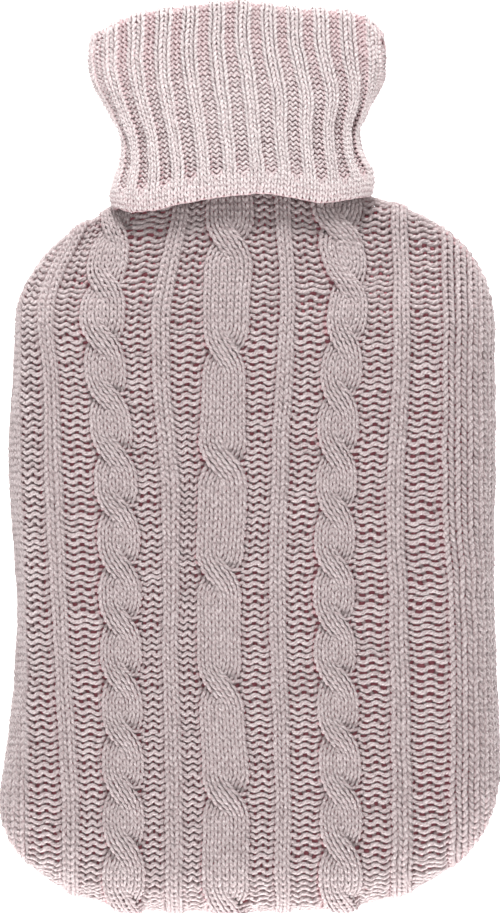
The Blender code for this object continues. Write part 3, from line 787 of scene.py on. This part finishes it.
def collar_course(row):
    """One course of the collar, counted from the hem: ribs, furrows between them, the hem, and painted
    shade.
    """
    paths = []
    for wale in range(COLLAR_WALES):
        front = wale < COLLAR_WALES // 2 + 3
        turns = KNIT_TURNS if front else HIDDEN_TURNS
        paths.append(stitch_path(turns, float(wale), "knit"))
    across, down, depth = (np.concatenate(part) for part in zip(*paths))
    rows = row + down
    repeat = (across + 1.0) % 4.0
    edge = np.minimum(repeat, 2.0 - repeat)
    knit = smooth((edge + TURN_WIDTH) / (2 * TURN_WIDTH))
    # The furrows are narrow at the fold, wide above the hem, and run out into it.
    share = RIB_SHARE[0] + (RIB_SHARE[1] - RIB_SHARE[0]) * smooth((rows - 8.0) / 28.0)
    rib, furrow = 1.0 + (repeat - 1.0) * 2 * share, 3.0 + (repeat - 3.0) * 2 * (1 - share)
    moved = np.where(repeat < 2.0, rib, furrow)
    middle = 1.0 - np.abs(repeat - 3.0)  # 1 in the middle of a furrow, 0 at its edges
    hem = smooth((CAST_OFF + 1.6 * (1.0 - middle) - rows) / 1.6)
    knit = np.maximum(knit, hem)
    shallow = smooth((rows - 1.0) / 6.0) * (1.0 - 0.4 * smooth((rows - 20.0) / 14.0))
    rise = RIB_TOP + (RIB_TOP + FURROW) * (knit - 1.0) * shallow
    # Painted shade, as a lower height: rose in the furrows, more at the fold and the hem, and some on
    # the cast-off edge and the sides of the roll, which turn from the light.
    furrow_shade = FURROW_PAINTED_SHADE[0] + FURROW_PAINTED_SHADE[1] * smooth((rows - 18.0) / 14.0)
    low = (knit - 1.0) * (furrow_shade + FURROW_PAINTED_SHADE[2] * smooth((8.0 - rows) / 5.0))
    fronting = np.abs(np.sin(across / COLLAR_WALES * 2 * np.pi))
    facing = 0.35 + 0.65 * smooth(2.5 * fronting)
    low, rise = low * facing, RIB_TOP + (rise - RIB_TOP) * facing
    low = low - HEM_SHADE * smooth((4.0 - rows) / 4.0) - SIDE_SHADE * (1.0 - fronting)
    return (across + moved - repeat) % COLLAR_WALES, rows, depth * (2 * knit - 1), rise, low


def collar_tubes(first, last):
    tubes = []
    for row in range(first, last):
        wale, rows, depth, rise, low = collar_course(row)
        tubes.append((*laid(collar, wale, rows, depth, rise, yarn=COLLAR_YARN, low=low), True))
    return tubes


COLLAR_SPLIT = 22
collar_yarn = [
    yarn_object("collar_yarn_hem", collar_tubes(0, COLLAR_SPLIT)),
    yarn_object("collar_yarn_fold", collar_tubes(COLLAR_SPLIT, LAST_COLLAR_ROW)),
]

# %% [markdown]
# ## The seam
# Front and back are sewn together with the same yarn, which shows as a low wavy ridge round the edge.

# %% Sew the seam
SEAM_INSET = 1.5
SEAM_YARN = 1.35
SIDE_STEPS = 90
SEAM_WAVE = 0.45  # how far it sways from one side to the other


def seam_tube():
    """A tube round the edge, from the neck's left side down, across and up again."""
    lines = front_map["lines"]
    shoulder = lines[(front_map["points"][:, 0, 1] < NECK_TOP - 1.0) & (front_map["top"] < 90.0)]
    neck = [np.interp(x, wale_x(lines, np.full(len(lines), NECK_TOP)), lines)
            for x in (NECK_X - NECK_HALF, NECK_X + NECK_HALF)]
    left = shoulder[shoulder < neck[0]][::-1]
    right = shoulder[shoulder > neck[1]]
    top, end = front_map["top"], front_map["end"]
    down = np.linspace(top[0], end[0], SIDE_STEPS)[1:-1]
    up = np.linspace(end[-1], top[-1], SIDE_STEPS)[1:-1]
    wale = np.concatenate([left, 0 * down, lines, 0 * up + lines[-1], right])
    row = np.concatenate([np.interp(left, lines, top), down, end, up, np.interp(right, lines, top)])
    points, normals = place(front_map, wale, row), place(front_map, wale, row, "normals")
    points[:, 2] = SEAM_Z
    normals[:, 2] = 0.0
    along = path_lengths(points)
    at = np.arange(0.0, along[-1], PITCH / 3)
    normals = unit(points_at(at, along, normals))
    points = points_at(at, along, points) - SEAM_INSET * normals
    points[:, 2] += SEAM_WAVE * np.sin(at / PITCH * 2 * np.pi)
    return points, normals, np.full(len(at), SEAM_YARN), np.full(len(at), 1.0), False


seam_yarn = yarn_object("seam_yarn", [seam_tube()], sides=4)

# %% [markdown]
# ## The cloth behind the yarn
# Between the stitches one looks into the thickness of the fabric, which is dark and reddish because the
# light there has bounced off pink yarn several times. A thin sheet behind the loops stands for those
# inner sides. It is a sheet of cloth.

# %% Sheets
def grid_sheet(name, points, stitches):
    """A sheet of faces through a grid of points in millimetres, with wale and row as its UV map."""
    mesh = bpy.data.meshes.new(name)
    n, m = points.shape[:2]
    first = np.arange(n * m).reshape(n, m)[:-1, :-1].reshape(-1, 1)
    quads = first + np.array([0, 1, m + 1, m])
    flat = points.reshape(-1, 3) * MM
    mesh.from_pydata(flat.tolist(), [], quads.tolist())
    layer = mesh.uv_layers.new(name="stitches")
    layer.uv.foreach_set("vector", stitches.reshape(-1, 2)[quads.ravel()].astype(np.float32).ravel())
    mesh.validate()
    mesh.shade_smooth()
    obj = linked(name, mesh)
    print(name, len(quads) * 2, "triangles")
    return obj


PANEL_GRID = (69, 80)  # points of a panel's sheet across and down
FRONT_INSET = 4.2  # how deep the sheets lie below the solids' faces
BACK_INSET = 4.0


def panel_sheet(name, cloth, panel, inset):
    lines = np.linspace(cloth["lines"][0], cloth["lines"][-1], PANEL_GRID[0])
    top, end = ends_at(cloth, lines)
    rows = top[:, None] + (end - top)[:, None] * np.linspace(0.0, 1.0, PANEL_GRID[1])
    wales = np.repeat(lines[:, None], PANEL_GRID[1], 1)
    points = place(cloth, wales, rows) - place(cloth, wales, rows, "normals") * inset
    above = np.maximum((points[..., 2] - SEAM_Z) * panel["side"], 0.0)
    points[..., 2] = SEAM_Z + panel["side"] * above
    way = slice(None, None, 1 if panel["side"] > 0 else -1)  # so that the faces look outward
    return grid_sheet(name, points[way], np.stack([wales, rows], -1)[way])


front_cloth = panel_sheet("front_cloth", front_map, FRONT, FRONT_INSET)
back_cloth = panel_sheet("back_cloth", back_map, BACK, BACK_INSET)

# %% [markdown]
# The collar's sheet goes on further than its yarn: round the fold and down the mouth as far as the
# neck. The ribs go on there too, as waves in the sheet itself.

# %% The sheet of the collar
SHEET_INSET = COLLAR_INSET + 3.1
SHEET_ROWS = (*np.linspace(0, OUTER_ROWS, 14), *(OUTER_ROWS + np.linspace(1, 5, 5)), 44, 47)
MOUTH_ROWS = 12  # rows of stitches down the inside of the neck
MOUTH_RINGS = 7  # and rings of faces
MOUTH_BEND = 0.4  # share of the rings in which the sheet goes from the fold to the inside
RIB_WAVE = 0.6  # half the depth of the ribs on the inside


def collar_sheet(name):
    wales = np.linspace(0.0, COLLAR_WALES, 2 * COLLAR_WALES + 1)
    places = wales / COLLAR_WALES % 1.0
    rows = list(SHEET_ROWS)
    rings = [collar_ring(row, places, SHEET_INSET) for row in rows]
    mouth = rings[-1]
    first, last = INNER_COLLAR[-1][0], INNER_COLLAR[0][0]
    for share in np.linspace(0.0, 1.0, MOUTH_RINGS + 1)[1:]:
        y = first + (last - first) * max(share - MOUTH_BEND, 0.0) / (1 - MOUTH_BEND)
        size = (y, *(float(curve(INNER_COLLAR, y, column)) for column in (1, 2)))
        inside = inner_ring(size, places, SHEET_WALL - SHEET_INSET)
        rings.append(mouth + (inside - mouth) * min(share / MOUTH_BEND, 1.0))
        rows.append(rows[-1] + MOUTH_ROWS / MOUTH_RINGS)
    points = np.stack(rings, 1)
    deep = smooth((np.array(rows) - OUTER_ROWS - FOLD_ROWS) / 2.0)
    inward = points.mean(axis=0, keepdims=True) - points
    inward[..., 1] = 0.0
    ribs = RIB_WAVE * np.cos(wales / 4 * 2 * np.pi)
    points += unit(inward) * (ribs[:, None] * deep)[..., None]
    stitches = np.stack(np.meshgrid(wales, rows, indexing="ij"), -1)
    return grid_sheet(name, points[::-1], stitches[::-1])


collar_cloth = collar_sheet("collar_cloth")

# %% [markdown]
# ## Materials
# The yarn is soft-spun acrylic: thousands of fine fibres twisted into plies, so it is matt, a little
# fuzzy at its edges and never one even colour.

# %% Material helpers
def linear(hex_colour):
    """An sRGB hex colour as the linear values that Blender's shaders use."""
    values = np.array([int(hex_colour[i : i + 2], 16) for i in (1, 3, 5)]) / 255
    low, high = values / 12.92, ((values + 0.055) / 1.055) ** 2.4
    return (*np.where(values <= 0.04045, low, high).tolist(), 1.0)


def fill(tree, target, inputs):
    """Fills a node's inputs with values or links. A node stands for its first output."""
    for key, value in inputs.items():
        if isinstance(value, bpy.types.Node):
            value = value.outputs[0]
        if isinstance(value, bpy.types.NodeSocket):
            tree.links.new(value, target.inputs[key])
        else:
            target.inputs[key].default_value = value


def node(tree, kind, inputs=None, **settings):
    """Adds a node, sets its properties and fills its inputs."""
    new = tree.nodes.new("ShaderNode" + kind)
    for key, value in settings.items():
        setattr(new, key, value)
    fill(tree, new, inputs or {})
    return new


def math(tree, operation, *values):
    return node(tree, "Math", dict(enumerate(values)), operation=operation)


def blend(tree, value, span, colours, **settings):
    """A colour that goes from the first to the second while the value goes through the span."""
    between = {"Value": value, "From Min": span[0], "From Max": span[1]}
    share = node(tree, "MapRange", between, **settings)
    mix = {"Factor": share, "A": colours[0], "B": colours[1]}
    return node(tree, "Mix", mix, data_type="RGBA").outputs["Result"]


def new_material(name):
    mat = bpy.data.materials.new(name)
    mat.use_nodes = True
    return mat, mat.node_tree, mat.node_tree.nodes["Principled BSDF"]


PLY_TWIST = 5.5  # millimetres of yarn in which the plies go once round
PLIES = 3
FIBRE = 0.55  # width in millimetres of a lock of fibres
FIBRE_STRETCH = 0.45  # locks are longer than wide by the inverse of this
FLECK = 1.1  # size in millimetres of the pale and dark flecks
PAINTED_SHADE_SPAN = (-1.8, 1.5)  # heights, in yarn radii, where the yarn is painted fully deep rose shade and where it keeps its pale colour
FUZZ = 0.7  # relief of plies and fibres, in millimetres


def yarn_material(name, light, dark, deep):
    """Matt spun yarn: twisted plies, fine fibres along them, a heathered colour and painted rose shade.
    """
    mat, tree, shader = new_material(name)
    where = node(tree, "TexCoord")
    strand = node(tree, "UVMap", uv_map="yarn")
    split = node(tree, "SeparateXYZ", {"Vector": strand.outputs["UV"]})
    # u is the distance along the yarn in millimetres, and v goes once round it.
    turned = math(tree, "MULTIPLY_ADD", split.outputs["X"], 1 / PLY_TWIST, split.outputs["Y"])
    angle = math(tree, "MULTIPLY", turned, 2 * np.pi)
    groove = math(tree, "SINE", math(tree, "MULTIPLY", angle, float(PLIES)))
    # The noise is read on a twisted cylinder, so that a lock has no edge where v starts again.
    cos, sin = math(tree, "COSINE", angle), math(tree, "SINE", angle)
    along = math(tree, "MULTIPLY", split.outputs["X"], FIBRE_STRETCH)
    lock = node(tree, "CombineXYZ", {"X": along, "Y": cos, "Z": sin})
    fibre = node(tree, "TexNoise",
                 {"Vector": lock, "Scale": YARN / FIBRE, "Detail": 3.0, "Roughness": 0.65})
    heather = node(tree, "TexNoise",
                   {"Vector": where.outputs["Object"], "Scale": 1 / (FLECK * MM), "Detail": 2.0,
                    "Roughness": 0.7})
    # The colour is heathered at random. It is also painted a little lighter on the raised plies and
    # fibres and darker in the grooves between the plies, as painted light and shade.
    flecked = math(tree, "MULTIPLY_ADD", heather.outputs["Fac"], 0.55, fibre.outputs["Fac"])
    both = math(tree, "MULTIPLY_ADD", groove, 0.07, flecked)
    heathered = blend(tree, both, (0.6, 0.95), (linear(dark), linear(light)))
    # Painted shade: where the height is low, on the lower side of a loop and where the yarn lies deep,
    # it is painted deep rose, the colour of light bounced off pink yarn.
    height = node(tree, "Attribute", attribute_name="height")
    shaded = blend(tree, height.outputs["Fac"], PAINTED_SHADE_SPAN, (linear(deep), heathered),
                   interpolation_type="SMOOTHSTEP")
    relief = math(tree, "MULTIPLY_ADD", groove, 0.16, fibre.outputs["Fac"])
    bump = node(tree, "Bump", {"Height": relief, "Strength": 0.9, "Distance": FUZZ * MM})
    # Matt, with a little sheen for the loose fibres that catch the light at the edges.
    fill(tree, shader, {"Base Color": shaded, "Normal": bump, "Roughness": 0.85,
                        "Specular IOR Level": 0.3, "Sheen Weight": 0.3, "Sheen Roughness": 0.5})
    return mat


LOFT = 0.8  # relief of the stitches on the inside, in millimetres
SPOTS = 900.0  # spots of colour to a metre of cloth


def cloth_material(name, light, dark, through):
    """The inside of the knitting as painted shade: a V for each stitch, darker in its hollows, and a
    painted glow for a little light that comes through.
    """
    mat, tree, shader = new_material(name)
    where = node(tree, "TexCoord")
    noise = node(tree, "TexNoise", {"Vector": where.outputs["Object"], "Scale": SPOTS, "Detail": 2.0})
    # The row's phase is earlier at the sides of a wale than in its middle, which bends it to a V.
    stitch = node(tree, "UVMap", uv_map="stitches")
    split = node(tree, "SeparateXYZ", {"Vector": stitch.outputs["UV"]})
    across = math(tree, "PINGPONG", split.outputs["X"], 0.5)
    slanted = math(tree, "MULTIPLY_ADD", across, 1.2, split.outputs["Y"])
    legs = math(tree, "SINE", math(tree, "MULTIPLY", slanted, 2 * np.pi))
    wide = math(tree, "MULTIPLY_ADD", across, 2.0, noise.outputs["Fac"])
    height = math(tree, "MULTIPLY_ADD", legs, 0.45, wide)
    colour = blend(tree, height, (0.2, 1.7), (linear(dark), linear(light)))
    bump = node(tree, "Bump", {"Height": height, "Strength": 0.8, "Distance": LOFT * MM})
    fill(tree, shader, {"Base Color": colour, "Normal": bump, "Roughness": 1.0,
                        "Specular IOR Level": 0.1, "Emission Color": linear(light),
                        "Emission Strength": through})
    return mat


# %% Materials
# What gives the eye: the body's yarn is a pale greyish pink, and the neck's is the same yarn painted
# nearly white, as painted light where the light falls strongest. Both get painted rose shade on the
# lower sides of the loops, and the inner sheets are painted deep rose shade that glows a little through
# the gaps of the purl ground.
body_acrylic = yarn_material("soft-spun acrylic yarn, pale pink", "#D1C5C5", "#A08C8D", "#C68F95")
collar_acrylic_painted_light = yarn_material("soft-spun acrylic yarn, ribbed neck, painted light", "#F3EAE9", "#CAB8B9", "#CC9BA1")
inner_face_painted_shade = cloth_material("inside of the knitting, painted deep rose shade and glow", "#C97F89", "#AE656E", 0.16)
inner_collar_painted_shade = cloth_material("inside of the ribbing, painted rose shade and glow", "#E0C8C9", "#B4989A", 0.12)

for pieces, mat in ((front_yarn + back_yarn + [seam_yarn], body_acrylic), (collar_yarn, collar_acrylic_painted_light),
                    ([front_cloth, back_cloth], inner_face_painted_shade), ([collar_cloth], inner_collar_painted_shade)):
    for piece in pieces:
        piece.data.materials.append(mat)

# %% [markdown]
# ## What rides where
# The cover has no joints, so every piece rides on the one body. Yarn and sheet together stand in for
# each plain solid.

# %% Bodies
for name, cloth, yarn in (
    ("front_panel", front_cloth, front_yarn + [seam_yarn]),
    ("back_panel", back_cloth, back_yarn),
    ("collar", collar_cloth, collar_yarn),
):
    for piece in [*yarn, cloth]:
        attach(piece, "root")
        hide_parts(name)

# %% [markdown]
# ## Floor, light and camera
# The cover lies on a pale floor under large soft lights, and the camera looks straight down on it.

# %% Stage
bpy.ops.mesh.primitive_plane_add(size=6.0, location=(0.0, 0.0, 0.0))
floor = bpy.context.object
floor.name = "floor"
# The paper glows a little, because in the photo it is burnt out to pure white.
paper, tree, shader = new_material("matt white paper")
white = linear("#FFFFFF")
fill(tree, shader, {"Base Color": white, "Roughness": 1.0, "Emission Color": white,
                    "Emission Strength": 1.1})
floor.data.materials.append(paper)

world = bpy.data.worlds.new("soft white studio")
bpy.context.scene.world = world
world.use_nodes = True
fill(world.node_tree, world.node_tree.nodes["Background"], {"Color": white, "Strength": 0.8})
bpy.context.scene.view_settings.view_transform = "Standard"


def soft_light(name, place_at, size, watts):
    """A round soft lamp that shines at the middle of the cover."""
    data = bpy.data.lights.new(name, "AREA")
    data.shape = "DISK"
    data.size = size
    data.energy = watts
    lamp = linked(name, data)
    lamp.location = place_at
    lamp.rotation_euler = (-lamp.location).to_track_quat("-Z", "Y").to_euler()


soft_light("key softbox", (-0.1, 1.4, 0.9), 0.5, 28.0)
soft_light("fill softbox", (0.0, -1.5, 0.35), 0.7, 34.0)

VIEW = 913 * 0.41  # height of the picture in millimetres, at the seam
LENS = 300.0  # so long that the raised middle is hardly larger than the edges
SENSOR = 36.0
distance = LENS / SENSOR * VIEW * MM
camera_data = bpy.data.cameras.new("camera")
camera_data.lens = LENS
camera_data.sensor_width = SENSOR
camera = linked("camera", camera_data)
camera.location = (0.0002, -0.0002, SEAM_Z * MM + distance)
bpy.context.scene.camera = camera
print("camera", round(distance, 3), "m above the seam")
